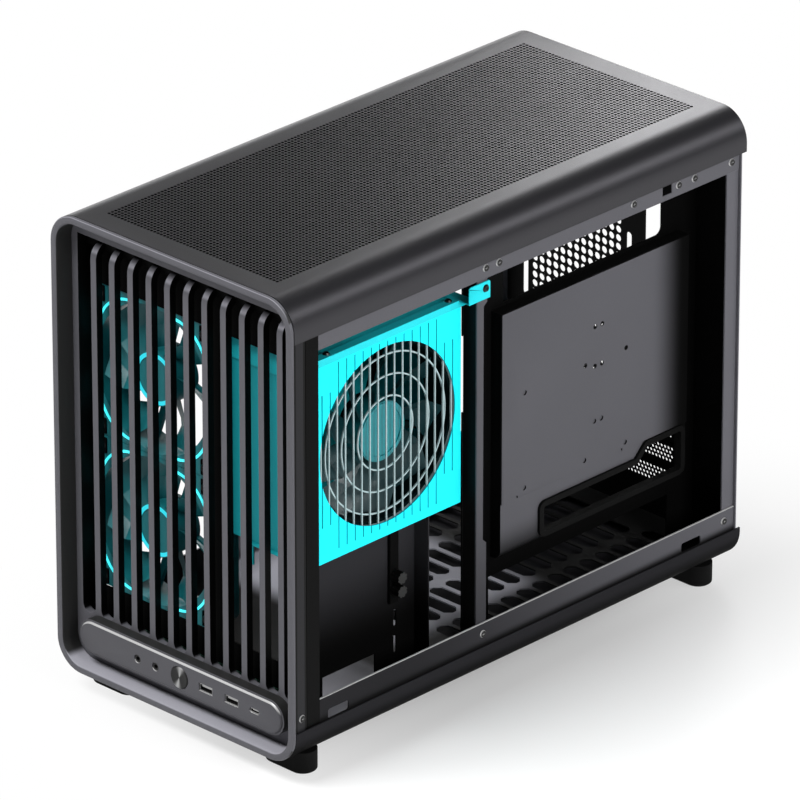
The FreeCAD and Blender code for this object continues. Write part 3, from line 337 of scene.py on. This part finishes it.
def rotorPlastic(name, colour, axle):  # moulded fan rotor with a lit ring on its cap
    f = Finish(name)
    pits = f.noise(mouldGrain["pits"], 1.0)
    drift = f.noise(mouldGrain["drift"], 2.0)
    shell = f.blend(drift, tone(colour, mouldGrain["dark"]), tone(colour, mouldGrain["light"]))
    inner, outer, soft = fanLight["inner"], fanLight["outer"], fanLight["soft"]
    radius = f.around("XZ", axle)[2]
    ring = f.clip(radius, inner, inner + soft) * (1.0 - f.clip(radius, outer, outer + soft))
    behind = f.clip(f.axis("Y"), fanLight["capFace"], fanLight["capFace"] + fanLight["capDeep"])
    lit = f.blend(ring * (1.0 - behind), grey(0.0), fanLight["colour"])
    f.feed({"Base Color": shell, "Roughness": rotorRough + pits * mouldGrain["spread"],
            "Normal": f.bump(pits, mouldGrain["relief"]), "Emission Color": lit,
            "Emission Strength": fanLight["strength"]})
    return f.material


supplyFan = {"axle": (-0.1245, 0.2392), "hub": 0.0230, "soft": 0.0003}


def supplyRotor(name, colour, hubColour):  # dark blades round a paler cap
    f = Finish(name)
    pits = f.noise(mouldGrain["pits"], 1.0)
    hub, soft = supplyFan["hub"], supplyFan["soft"]
    blades = f.clip(f.around("YZ", supplyFan["axle"])[2], hub - soft, hub + soft)
    f.feed({"Base Color": f.blend(blades, hubColour, colour),
            "Roughness": rotorRough + pits * mouldGrain["spread"],
            "Normal": f.bump(pits, mouldGrain["relief"])})
    return f.material


plating = {"lines": 900.0, "dark": 0.8, "spread": 0.16, "relief": 0.00002, "recessSoft": 0.0001}


def platedSteel(name, colour, rough, metal=1.0, recess=None, bright=None):
    f = Finish(name)
    lines = f.noise(plating["lines"], 3.0)
    coat = f.blend(lines, tone(colour, plating["dark"]), colour)
    if recess:  # the cross and the foot of the head keep the bright plating
        soft = plating["recessSoft"]
        head = f.clip(f.size(f.axis("X")), recess - soft, recess + soft)
        coat = f.blend(1.0 - head, coat, bright)
    f.feed({"Base Color": coat, "Metallic": metal, "Roughness": rough + lines * plating["spread"],
            "Normal": f.bump(lines, plating["relief"])})
    return f.material


spun = {"centre": (0.0, 0.0462), "fine": 5200.0, "turn": 2.75, "sharp": 9.0, "dark": 0.02,
        "grooveShare": 0.06, "metal": 0.2, "rough": 0.4, "spread": 0.18, "relief": 0.00003, "specular": 0.2}


def spunMetal(name, colour):  # turned face of the power button, with two bright fans of painted sheen, a painted reflection in the base colour
    f = Finish(name)
    across, upward, radius = f.around("XZ", spun["centre"])
    grooves = f.noise(spun["fine"], 1.0, f.node("ShaderNodeCombineXYZ", {}, {0: radius}))
    angle = f.node("ShaderNodeMath", {"operation": "ARCTAN2"}, {0: upward, 1: across})
    fan = f.single("COSINE", angle * 2.0 - spun["turn"]) * 0.5 + 0.5
    share = spun["grooveShare"]
    # painted sheen: two fans of painted reflection, with the real turning grooves mixed in
    paintedSheen = fan ** spun["sharp"] * (1.0 - share) + grooves * share
    f.feed({"Base Color": f.blend(paintedSheen, tone(colour, spun["dark"]), colour), "Metallic": spun["metal"],
            "Roughness": spun["rough"] + grooves * spun["spread"],
            "Normal": f.bump(grooves, spun["relief"]), "Specular IOR Level": spun["specular"]})
    return f.material


rubber = {"skin": 1800.0, "bloom": 60.0, "dark": 0.7, "light": 1.4, "rough": 0.62, "spread": 0.2,
          "relief": 0.00008, "specular": 0.08}


def rubberFinish(name, colour):
    f = Finish(name)
    skin = f.noise(rubber["skin"], 2.0)
    bloom = f.noise(rubber["bloom"], 3.0)
    f.feed({"Base Color": f.blend(bloom, tone(colour, rubber["dark"]), tone(colour, rubber["light"])),
            "Roughness": rubber["rough"] + skin * rubber["spread"],
            "Normal": f.bump(skin, rubber["relief"]), "Specular IOR Level": rubber["specular"]})
    return f.material


board = {"traces": 160.0, "wander": 3.0, "light": 1.8, "rough": 0.35, "spread": 0.1, "relief": 0.00004}


def circuitBoard(name, colour):
    f = Finish(name)
    traces = f.node("ShaderNodeTexWave", {"bands_direction": "X"},
                    {"Vector": f.place, "Scale": board["traces"], "Distortion": board["wander"],
                     "Detail": 2.0})
    f.feed({"Base Color": f.blend(traces, colour, tone(colour, board["light"])),
            "Roughness": board["rough"] + traces * board["spread"],
            "Normal": f.bump(traces, board["relief"])})
    return f.material


cool = (1.0, 0.99, 1.11)
coolGloss = (0.93, 0.905, 1.0, 1.0)
# black is darker than any black paint and is painted shade for the insides and for faces in shade;
# unshadedBlack is the black paint itself, used on faces that look left or to the rear
black = grey(0.0025)
unshadedBlack = grey(0.028, cool)
screwBright = grey(0.55)
fanTeal = (0.006, 0.15, 0.17, 1.0)

# places on the pieces where the paint changes, nearly all of them painted light and shade
rimFlank = outwards(0.1185, 0.1189)
# rim: painted light on the sill, a painted highlight on the lip's front edge, painted shade on the inner side
# walls and on the outer flanks
rimSillPaintedLight = both(upwards, unless(along("Z", 0.050, 0.060)))
rimLipPaintedHighlight = both(upwards, unless(along("Y", -0.2361, -0.2359)))
rimInsidePaintedShade = both(sideways, unless(rimFlank))
rimReturnPaintedShade = both(rimFlank, along("Y", -0.2334, -0.2330))
rimBandPaintedShade = both(rimFlank, both(along("Y", -0.2306, -0.2300), unless(along("Y", -0.2232, -0.2226))))
# grille: a painted highlight on the slats' top bends, painted shade on the slat sides, the ends and the back
slatTopsPaintedHighlight = both(upwards, along("Z", 0.25, 0.27))
grilleEndsPaintedShade = outwards(0.1170, 0.1180)
grilleBackPaintedShade = along("Y", -0.2160, -0.2130)
# control bar: a painted highlight on the front chamfer, painted shade on the ledge behind the face
barBevelPaintedHighlight = both(upwards, unless(along("Y", -0.2296, -0.2292)))
barBackPaintedShade = along("Y", -0.2292, -0.2288)
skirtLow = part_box("top_cover")[0].z
# painted shade: a dark line along the skirt's lower edge, where the seam to the rail lies in shade
skirtSeamPaintedShade = unless(along("Z", skirtLow + 0.0007, skirtLow + 0.0011))
# painted shade: the walls of the roof holes are painted black
holeWallsPaintedShade = unless(upwards)
# painted light: the partition is painted lighter towards its top and painted-shade black lower down
partitionTopPaintedLight = along("Z", 0.070, 0.140)
# post: its outer face gets lit charcoal, its other faces stay painted-shade black, and the lower part of the
# face is darker as painted shade
postLitFace = outwards(0.1150, 0.1156)
postFootPaintedShade = both(postLitFace, unless(along("Z", 0.03, 0.20)))
# floor sheet: painted light on the middle and front webs, with the rest painted dark as painted shade
floorMiddlePaintedLight = both(unless(along("X", 0.035, 0.065)),
                   both(along("Y", -0.075, -0.050), unless(along("Y", 0.070, 0.100))))
floorFrontPaintedLight = both(along("X", 0.020, 0.040), unless(along("Y", -0.100, -0.090)))
# rail's outer face: painted shade at the front and at its foot, lighter towards the rear as painted
# reflection, and a painted highlight along its top edge
railFace = outwards(0.1160, 0.1170)
railRearPaintedLight = both(railFace, along("Y", -0.13, 0.24))
railFootPaintedShade = both(railFace, unless(along("Z", 0.0425, 0.0500)))
railTopPaintedHighlight = both(railFace, along("Z", 0.0612, 0.0615))
# plate and pan: painted shade on the lower part, towards the rear, and on every face that does not look right
plateFootPaintedShade = unless(along("Z", 0.082, 0.112))
plateRearPaintedShade = along("Y", 0.172, 0.206)
# rear panel: the outer flange gets lit charcoal, and the rest stays painted-shade black
rearLitFlange = outwards(0.1140, 0.1150)

finishes = {
    # the rim carries painted light on its sill and lip edge, and painted shade on its inner walls and flanks
    "rim": powderCoat("rim_satin", grey(0.100, cool), rough=0.42, specular=0.12, shades=(
        (grey(0.32, cool), rimSillPaintedLight), (grey(0.26, cool), rimLipPaintedHighlight), (grey(0.022), rimInsidePaintedShade),
        (black, rimReturnPaintedShade), (grey(0.018, cool), rimBandPaintedShade))),
    # the slats carry a painted highlight on their top bends and painted shade on their sides, ends and back
    "grille": powderCoat("slat_satin", grey(0.11, cool), rough=0.42, specular=0.05, shades=(
        (grey(0.34, cool), slatTopsPaintedHighlight), (black, sideways), (black, grilleEndsPaintedShade), (black, grilleBackPaintedShade))),
    # the bar carries a painted highlight on its chamfer and painted shade behind its face
    "bar": powderCoat("bar_satin", grey(0.080, cool), rough=0.36, metal=0.2, specular=0.2, shades=(
        (grey(0.50), barBevelPaintedHighlight), (grey(0.03), barBackPaintedShade))),
    "button": spunMetal("button_spun", grey(0.36)),
    "port_metal": platedSteel("port_plating", grey(0.42), rough=0.24),
    "black_plastic": mouldedPlastic("black_moulding", grey(0.006), rough=0.45),
    "circuit_board": circuitBoard("board_mask", (0.01, 0.04, 0.025, 1.0)),
    # the skin's lowest edge is painted dark, painted shade at the seam
    "skin": powderCoat("skin_satin", grey(0.009, cool), rough=0.32, specular=0.53, gloss=coolGloss, shades=(
        (black, skirtSeamPaintedShade),)),
    "field": powderCoat("field_satin", grey(0.009, cool), rough=0.32, metal=holeWallsPaintedShade, specular=0.5,
                        gloss=coolGloss, shades=((grey(0.001), holeWallsPaintedShade),)),  # painted shade: black paint and black metal keep the hole walls dark
    # painted shade: the tray's downward faces are painted nearly black
    "tray_skin": powderCoat("tray_satin", grey(0.018, cool), rough=0.5, specular=0.015, shades=(
        (grey(0.002), downwards),)),
    # chassis, partition and rear use painted-shade black on the faces seen from the front and right, and the
    # plain black paint on the others
    "chassis": powderCoat("chassis_black", black, rough=0.55, specular=0.03, shades=((unshadedBlack, away),)),
    # the partition is lighter towards the top as painted light, with painted-shade black lower down
    "partition": powderCoat("partition_black", black, rough=0.55, specular=0.03, shades=(
        (grey(0.024, cool), partitionTopPaintedLight), (unshadedBlack, away))),
    "rail": powderCoat("rail_charcoal", grey(0.095, cool), rough=0.42, specular=0.1),
    # the post has lit charcoal on its outer face and painted shade on its other faces and at its foot
    "post": powderCoat("post_charcoal", black, rough=0.5, specular=0.05, shades=(
        (grey(0.085, cool), postLitFace), (grey(0.030, cool), postFootPaintedShade))),
    # the floor carries painted light on its webs, painted shade elsewhere, and painted shade, reflection and
    # highlight on the rail face
    "floor": powderCoat("floor_charcoal", grey(0.010), rough=0.45, specular=0.05, shades=(
        (grey(0.42, cool), floorMiddlePaintedLight), (grey(0.20, cool), floorFrontPaintedLight), (grey(0.016, cool), railFace),
        (grey(0.092, cool), railRearPaintedLight), (grey(0.008), railFootPaintedShade), (grey(0.40), railTopPaintedHighlight))),
    # the plate and pan carry painted shade low down, towards the rear, and on their edges
    "plate": powderCoat("plate_grey", grey(0.090, cool), rough=0.45, specular=0.1, shades=(
        (grey(0.006), plateFootPaintedShade), (black, plateRearPaintedShade), (black, unless(rightwards)))),
    # the rear panel has lit charcoal on its outer flange and painted shade elsewhere
    "rear": powderCoat("rear_black", black, rough=0.5, specular=0.05, shades=(
        (grey(0.115, cool), rearLitFlange), (unshadedBlack, away))),
    "brass": platedSteel("standoff_brass", (0.75, 0.55, 0.22, 1.0), rough=0.25),
    "rubber": rubberFinish("soft_rubber", grey(0.004)),
    "screws": platedSteel("screw_plating", grey(0.05), rough=0.3),
    "rail_screws": platedSteel("rail_screw_plating", grey(0.03), rough=0.3, metal=0.6,
                               recess=0.1186, bright=screwBright),
    "rim_screws": platedSteel("rim_screw_plating", grey(0.03), rough=0.3, metal=0.6,
                              recess=0.1199, bright=screwBright),
    "fan_plastic": mouldedPlastic("fan_teal", fanTeal, rough=0.35),
    "fan_light": litDiffuser("fan_glow"),
    "rotor_lower": rotorPlastic("rotor_lower_teal", fanTeal, (-0.048, 0.1385)),
    "rotor_upper": rotorPlastic("rotor_upper_teal", fanTeal, (-0.048, 0.2590)),
    "supply_frame": mouldedPlastic("supply_fan_black", (0.001, 0.006, 0.007, 1.0), rough=0.5, specular=0.05),
    "supply_rotor": supplyRotor("supply_rotor_teal", (0.002, 0.030, 0.036, 1.0), (0.006, 0.22, 0.25, 1.0)),
    "psu_face": glowingPaint("panel_cyan", (0.014, 0.80, 0.92, 1.0)),
    "psu_body": powderCoat("housing_teal", (0.008, 0.30, 0.34, 1.0), rough=0.42, specular=0.2),
    # painted light: the bracket's faces that look right are painted a brighter cyan
    "bracket": powderCoat("bracket_teal", (0.008, 0.36, 0.41, 1.0), rough=0.42, specular=0.2, shades=(
        ((0.010, 0.66, 0.74, 1.0), rightwards),)),
    "guard": platedSteel("guard_plating", (0.42, 0.56, 0.58, 1.0), rough=0.3, metal=0.2),
}
print("finishes made:", len(finishes))

slotOf = {part["node"]: part["material_slot"] for part in frame["record"]["subparts"]}
nodeFinish = dict(slotOf)
nodeFinish.update(top_frame="rail", floor_panel="floor", mid_post="post", drive_plate="plate",
                  drive_pan="plate", rear_panel="rear", fan_rotor_lower="rotor_lower",
                  fan_rotor_upper="rotor_upper", psu_fan_frame="supply_frame",
                  psu_fan_rotor="supply_rotor", bottom_tray="tray_skin", rail_screws="rail_screws",
                  rim_screws="rim_screws", psu_bracket="bracket", lower_partition="partition")
for name, node in nodes.items():
    node.data.materials.clear()
    node.data.materials.append(finishes[nodeFinish[name]])


def holeField(name, plan, rows, place, tilt=0.0):  # one punched cell, copied along both ways
    pitch, sides = plan["pitch"], plan["sides"]
    middle = (pitch / 2, pitch / 2, 0)
    deselectAll()
    bpy.ops.mesh.primitive_circle_add(vertices=sides, location=middle, rotation=(0, 0, math.pi / sides),
                                      radius=plan["hole"] / 2 / math.cos(math.pi / sides))
    cell = bpy.context.object
    cell.name = name
    settled(cell)
    bpy.ops.object.mode_set(mode="EDIT")
    bpy.ops.mesh.primitive_circle_add(vertices=4, radius=pitch / math.sqrt(2), location=middle,
                                      rotation=(0, 0, math.pi / 4))
    bpy.ops.mesh.select_all(action="SELECT")
    bpy.ops.mesh.bridge_edge_loops()
    bpy.ops.mesh.select_all(action="SELECT")
    bpy.ops.mesh.normals_make_consistent(inside=False)
    bpy.ops.object.mode_set(mode="OBJECT")
    if cell.data.polygons[0].normal.z < 0:  # the face has to look up before it gets its thickness
        bpy.ops.object.mode_set(mode="EDIT")
        bpy.ops.mesh.select_all(action="SELECT")
        bpy.ops.mesh.flip_normals()
        bpy.ops.object.mode_set(mode="OBJECT")
    rowOf(cell, plan["columns"], (pitch, 0, 0))
    rowOf(cell, rows, (0, pitch, 0))
    applied(cell, "SOLIDIFY", thickness=plan["thick"], offset=-1.0)
    cell.location = place
    cell.rotation_euler = (tilt, 0, 0)
    return settled(cell)


def windowed(nodeName, pieceName, middle, size):  # a copy of the sheet, opened for its field of holes
    sheet = nodeCopy(nodeName, pieceName)
    deselectAll()
    bpy.ops.mesh.primitive_cube_add(size=1.0, location=middle)
    punch = bpy.context.object
    punch.scale = size
    settled(punch)
    return smoothed(punched(sheet, punch))


# perforated roof
roof = {"left": -0.0858, "front": -0.2145, "pitch": 0.0033, "hole": 0.0025, "columns": 52, "rows": 131,
        "thick": 0.0015, "sides": 8, "cut": 0.006}
roofWide = roof["columns"] * roof["pitch"]
roofDeep = roof["rows"] * roof["pitch"]
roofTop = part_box("top_cover")[1].z
roofMiddle = (roof["left"] + roofWide / 2, roof["front"] + roofDeep / 2, roofTop)
roofShell = windowed("top_cover", "roofShell", roofMiddle, (roofWide, roofDeep, roof["cut"]))
halfRows = roof["rows"] // 2
halfPlace = roof["front"] + halfRows * roof["pitch"]
roofFieldFront = holeField("roofFieldFront", roof, halfRows, (roof["left"], roof["front"], roofTop))
roofFieldRear = holeField("roofFieldRear", roof, roof["rows"] - halfRows, (roof["left"], halfPlace, roofTop))
finished(roofShell, "case", "skin", finishes["skin"], "top_cover")
finished(roofFieldFront, "case", "skin", finishes["field"], "top_cover")
finished(roofFieldRear, "case", "skin", finishes["field"], "top_cover")
print("roof made")

# rear panel
vents = {"left": -0.09013, "low": 0.13347, "pitch": 0.00706, "hole": 0.0057, "columns": 13, "rows": 25,
         "thick": 0.0012, "sides": 16, "cut": 0.006}
ventsWide = vents["columns"] * vents["pitch"]
ventsTall = vents["rows"] * vents["pitch"]
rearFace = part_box("rear_panel")[1].y
ventsMiddle = (vents["left"] + ventsWide / 2, rearFace, vents["low"] + ventsTall / 2)
rearSheet = windowed("rear_panel", "rearSheet", ventsMiddle, (ventsWide, vents["cut"], ventsTall))
rearField = holeField("rearField", vents, vents["rows"],
                      (vents["left"], rearFace - vents["thick"], vents["low"]), math.pi / 2)

# slot covers
slotVents = {"first": -0.0370, "hole": 0.0028, "sides": 8, "punchDeep": 0.012, "across": 0.0035,
             "upward": 0.0033, "columns": 27, "covers": 4, "coverPitch": 0.02032, "coverGap": 0.0003}


def ventedCovers():  # four staggered rows of small holes in each cover
    covers = nodeCopy("slot_covers", "ventedCovers")
    low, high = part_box("slot_covers")
    across, upward = slotVents["across"], slotVents["upward"]
    middle = low.z - slotVents["coverGap"] + slotVents["coverPitch"] / 2
    deselectAll()
    bpy.ops.mesh.primitive_cylinder_add(vertices=slotVents["sides"], radius=slotVents["hole"] / 2,
                                        depth=slotVents["punchDeep"], rotation=(math.pi / 2, 0, 0),
                                        location=(slotVents["first"], high.y, middle - 1.5 * upward))
    punch = settled(bpy.context.object)
    bpy.ops.object.mode_set(mode="EDIT")
    bpy.ops.mesh.select_all(action="SELECT")
    bpy.ops.mesh.duplicate_move(TRANSFORM_OT_translate={"value": (across / 2, 0, upward)})
    bpy.ops.object.mode_set(mode="OBJECT")
    rowOf(punch, slotVents["columns"], (across, 0, 0))
    rowOf(punch, 2, (0, 0, 2 * upward))
    rowOf(punch, slotVents["covers"], (0, 0, slotVents["coverPitch"]))
    return smoothed(punched(covers, punch))


finished(rearSheet, "case", "chassis", finishes["rear"], "rear_panel")
finished(rearField, "case", "chassis", finishes["rear"], "rear_panel")
finished(ventedCovers(), "case", "chassis", finishes["chassis"], "slot_covers")
print("rear panel made")

# edges that catch the light
edgeSoftening = {"front_rim": 0.0005, "front_grille": 0.0005, "control_bar": 0.0003, "top_frame": 0.0003,
                 "floor_panel": 0.0003, "mid_post": 0.0003, "bottom_tray": 0.0003, "drive_plate": 0.0003,
                 "drive_pan": 0.0003, "psu_bracket": 0.0003, "psu_fan_panel": 0.0003}
sharpDegrees = 40
for name, edgeWidth in edgeSoftening.items():
    piece = nodeCopy(name, name + "Soft")
    applied(piece, "BEVEL", width=edgeWidth, segments=1, limit_method="ANGLE",
            angle_limit=math.radians(sharpDegrees), use_clamp_overlap=True, harden_normals=False)
    smoothed(piece, sharpDegrees)
    finished(piece, "case", slotOf[name], finishes[nodeFinish[name]], name)
print("edges softened:", len(edgeSoftening))

# floor
stagePlan = {"floorSize": 60.0, "paper": 0.86, "paperRough": 0.8, "world": 0.14, "shadowReach": (0.04, 0.45),
             "shadowMiddle": (0.13, 0.03, 0.0), "shadowLift": 0.20}
bpy.ops.mesh.primitive_plane_add(size=stagePlan["floorSize"], location=(0, 0, 0))
floor = bpy.context.object
floor.name = "studioFloor"
paper = Finish("studio_paper")
distance = paper.node("ShaderNodeVectorMath", {"operation": "DISTANCE"},
                      {0: paper.place, 1: stagePlan["shadowMiddle"]}, output="Value")
directRay = paper.node("ShaderNodeLightPath", output="Is Camera Ray")
for kind in ("Is Glossy Ray", "Is Transmission Ray"):
    ray = paper.node("ShaderNodeLightPath", output=kind)
    directRay = paper.node("ShaderNodeMath", {"operation": "MAXIMUM"}, {0: directRay, 1: ray})
near, far = stagePlan["shadowReach"]
lift = paper.clip(distance, near, far) * (1.0 - stagePlan["shadowLift"]) + stagePlan["shadowLift"]
paper.feed({"Base Color": grey(stagePlan["paper"]), "Roughness": stagePlan["paperRough"]})
white = paper.node("ShaderNodeEmission", {}, {"Color": grey(1.0), "Strength": 1.0})
mixed = paper.node("ShaderNodeMixShader", {},
                   {0: lift * directRay, 1: Val(paper, paper.shader.outputs[0]), 2: white})
paper.tree.links.new(mixed.socket, paper.tree.nodes["Material Output"].inputs["Surface"])
floor.data.materials.append(paper.material)

# light
world = bpy.data.worlds.new("studioAir")
bpy.context.scene.world = world
world.use_nodes = True
world.node_tree.nodes["Background"].inputs["Color"].default_value = grey(1.0)
world.node_tree.nodes["Background"].inputs["Strength"].default_value = stagePlan["world"]

lamps = {
    "keyBox": {"place": (-0.45, -1.7, 2.7), "aim": (0, -0.1, 0.2), "size": (1.2, 1.0), "power": 95.0},
    "sideBox": {"place": (2.5, -0.2, 1.3), "aim": (0, 0, 0.2), "size": (1.0, 1.0), "power": 48.0},
    "roofCard": {"place": (-0.95, 1.55, 1.10), "aim": (0.05, 0.1, 0.38), "size": (0.5, 0.6), "power": 8.0},
    "edgeCard": {"place": (1.35, 1.30, 1.26), "aim": (0.12, 0.0, 0.37), "size": (0.9, 0.6), "power": 7.0},
    "backCard": {"place": (-2.10, 2.00, 0.60), "aim": (0.0, 0.0, 0.38), "size": (2.6, 0.9), "power": 10.0},
}
for name, lamp in lamps.items():
    light = bpy.data.lights.new(name, "AREA")
    light.shape = "RECTANGLE"
    light.size, light.size_y = lamp["size"]
    light.energy = lamp["power"]
    holder = bpy.data.objects.new(name, light)
    bpy.context.scene.collection.objects.link(holder)
    holder.location = lamp["place"]
    holder.rotation_mode = "QUATERNION"
    holder.rotation_quaternion = (Vector(lamp["aim"]) - Vector(lamp["place"])).to_track_quat("-Z", "Y")
    holder.visible_camera = False

# camera
cameraPlan = {"azimuth": 44.08, "elevation": 25.21, "focalPixels": 9093.22, "imagePixels": 800,
              "sensor": 36.0, "clipEnd": 100.0, "base": (0.0, -0.2365, 0.017), "aside": 0.16269,
              "above": 0.22787, "away": 6.54967}
turn = math.radians(cameraPlan["azimuth"])
rise = math.radians(cameraPlan["elevation"])
back = Vector((math.sin(turn) * math.cos(rise), -math.cos(turn) * math.cos(rise), math.sin(rise)))
right = Vector((math.cos(turn), math.sin(turn), 0.0))
upward = back.cross(right)
lens = bpy.data.cameras.new("photoCamera")
lens.sensor_width = cameraPlan["sensor"]
lens.lens = cameraPlan["focalPixels"] / cameraPlan["imagePixels"] * cameraPlan["sensor"]
lens.clip_end = cameraPlan["clipEnd"]
camera = bpy.data.objects.new("photoCamera", lens)
bpy.context.scene.collection.objects.link(camera)
camera.location = (Vector(cameraPlan["base"]) + right * cameraPlan["aside"] + upward * cameraPlan["above"]
                   + back * cameraPlan["away"])
camera.rotation_mode = "QUATERNION"
camera.rotation_quaternion = (-back).to_track_quat("-Z", "Y")
bpy.context.scene.camera = camera
bpy.context.scene.view_settings.view_transform = "Standard"
print("stage set")
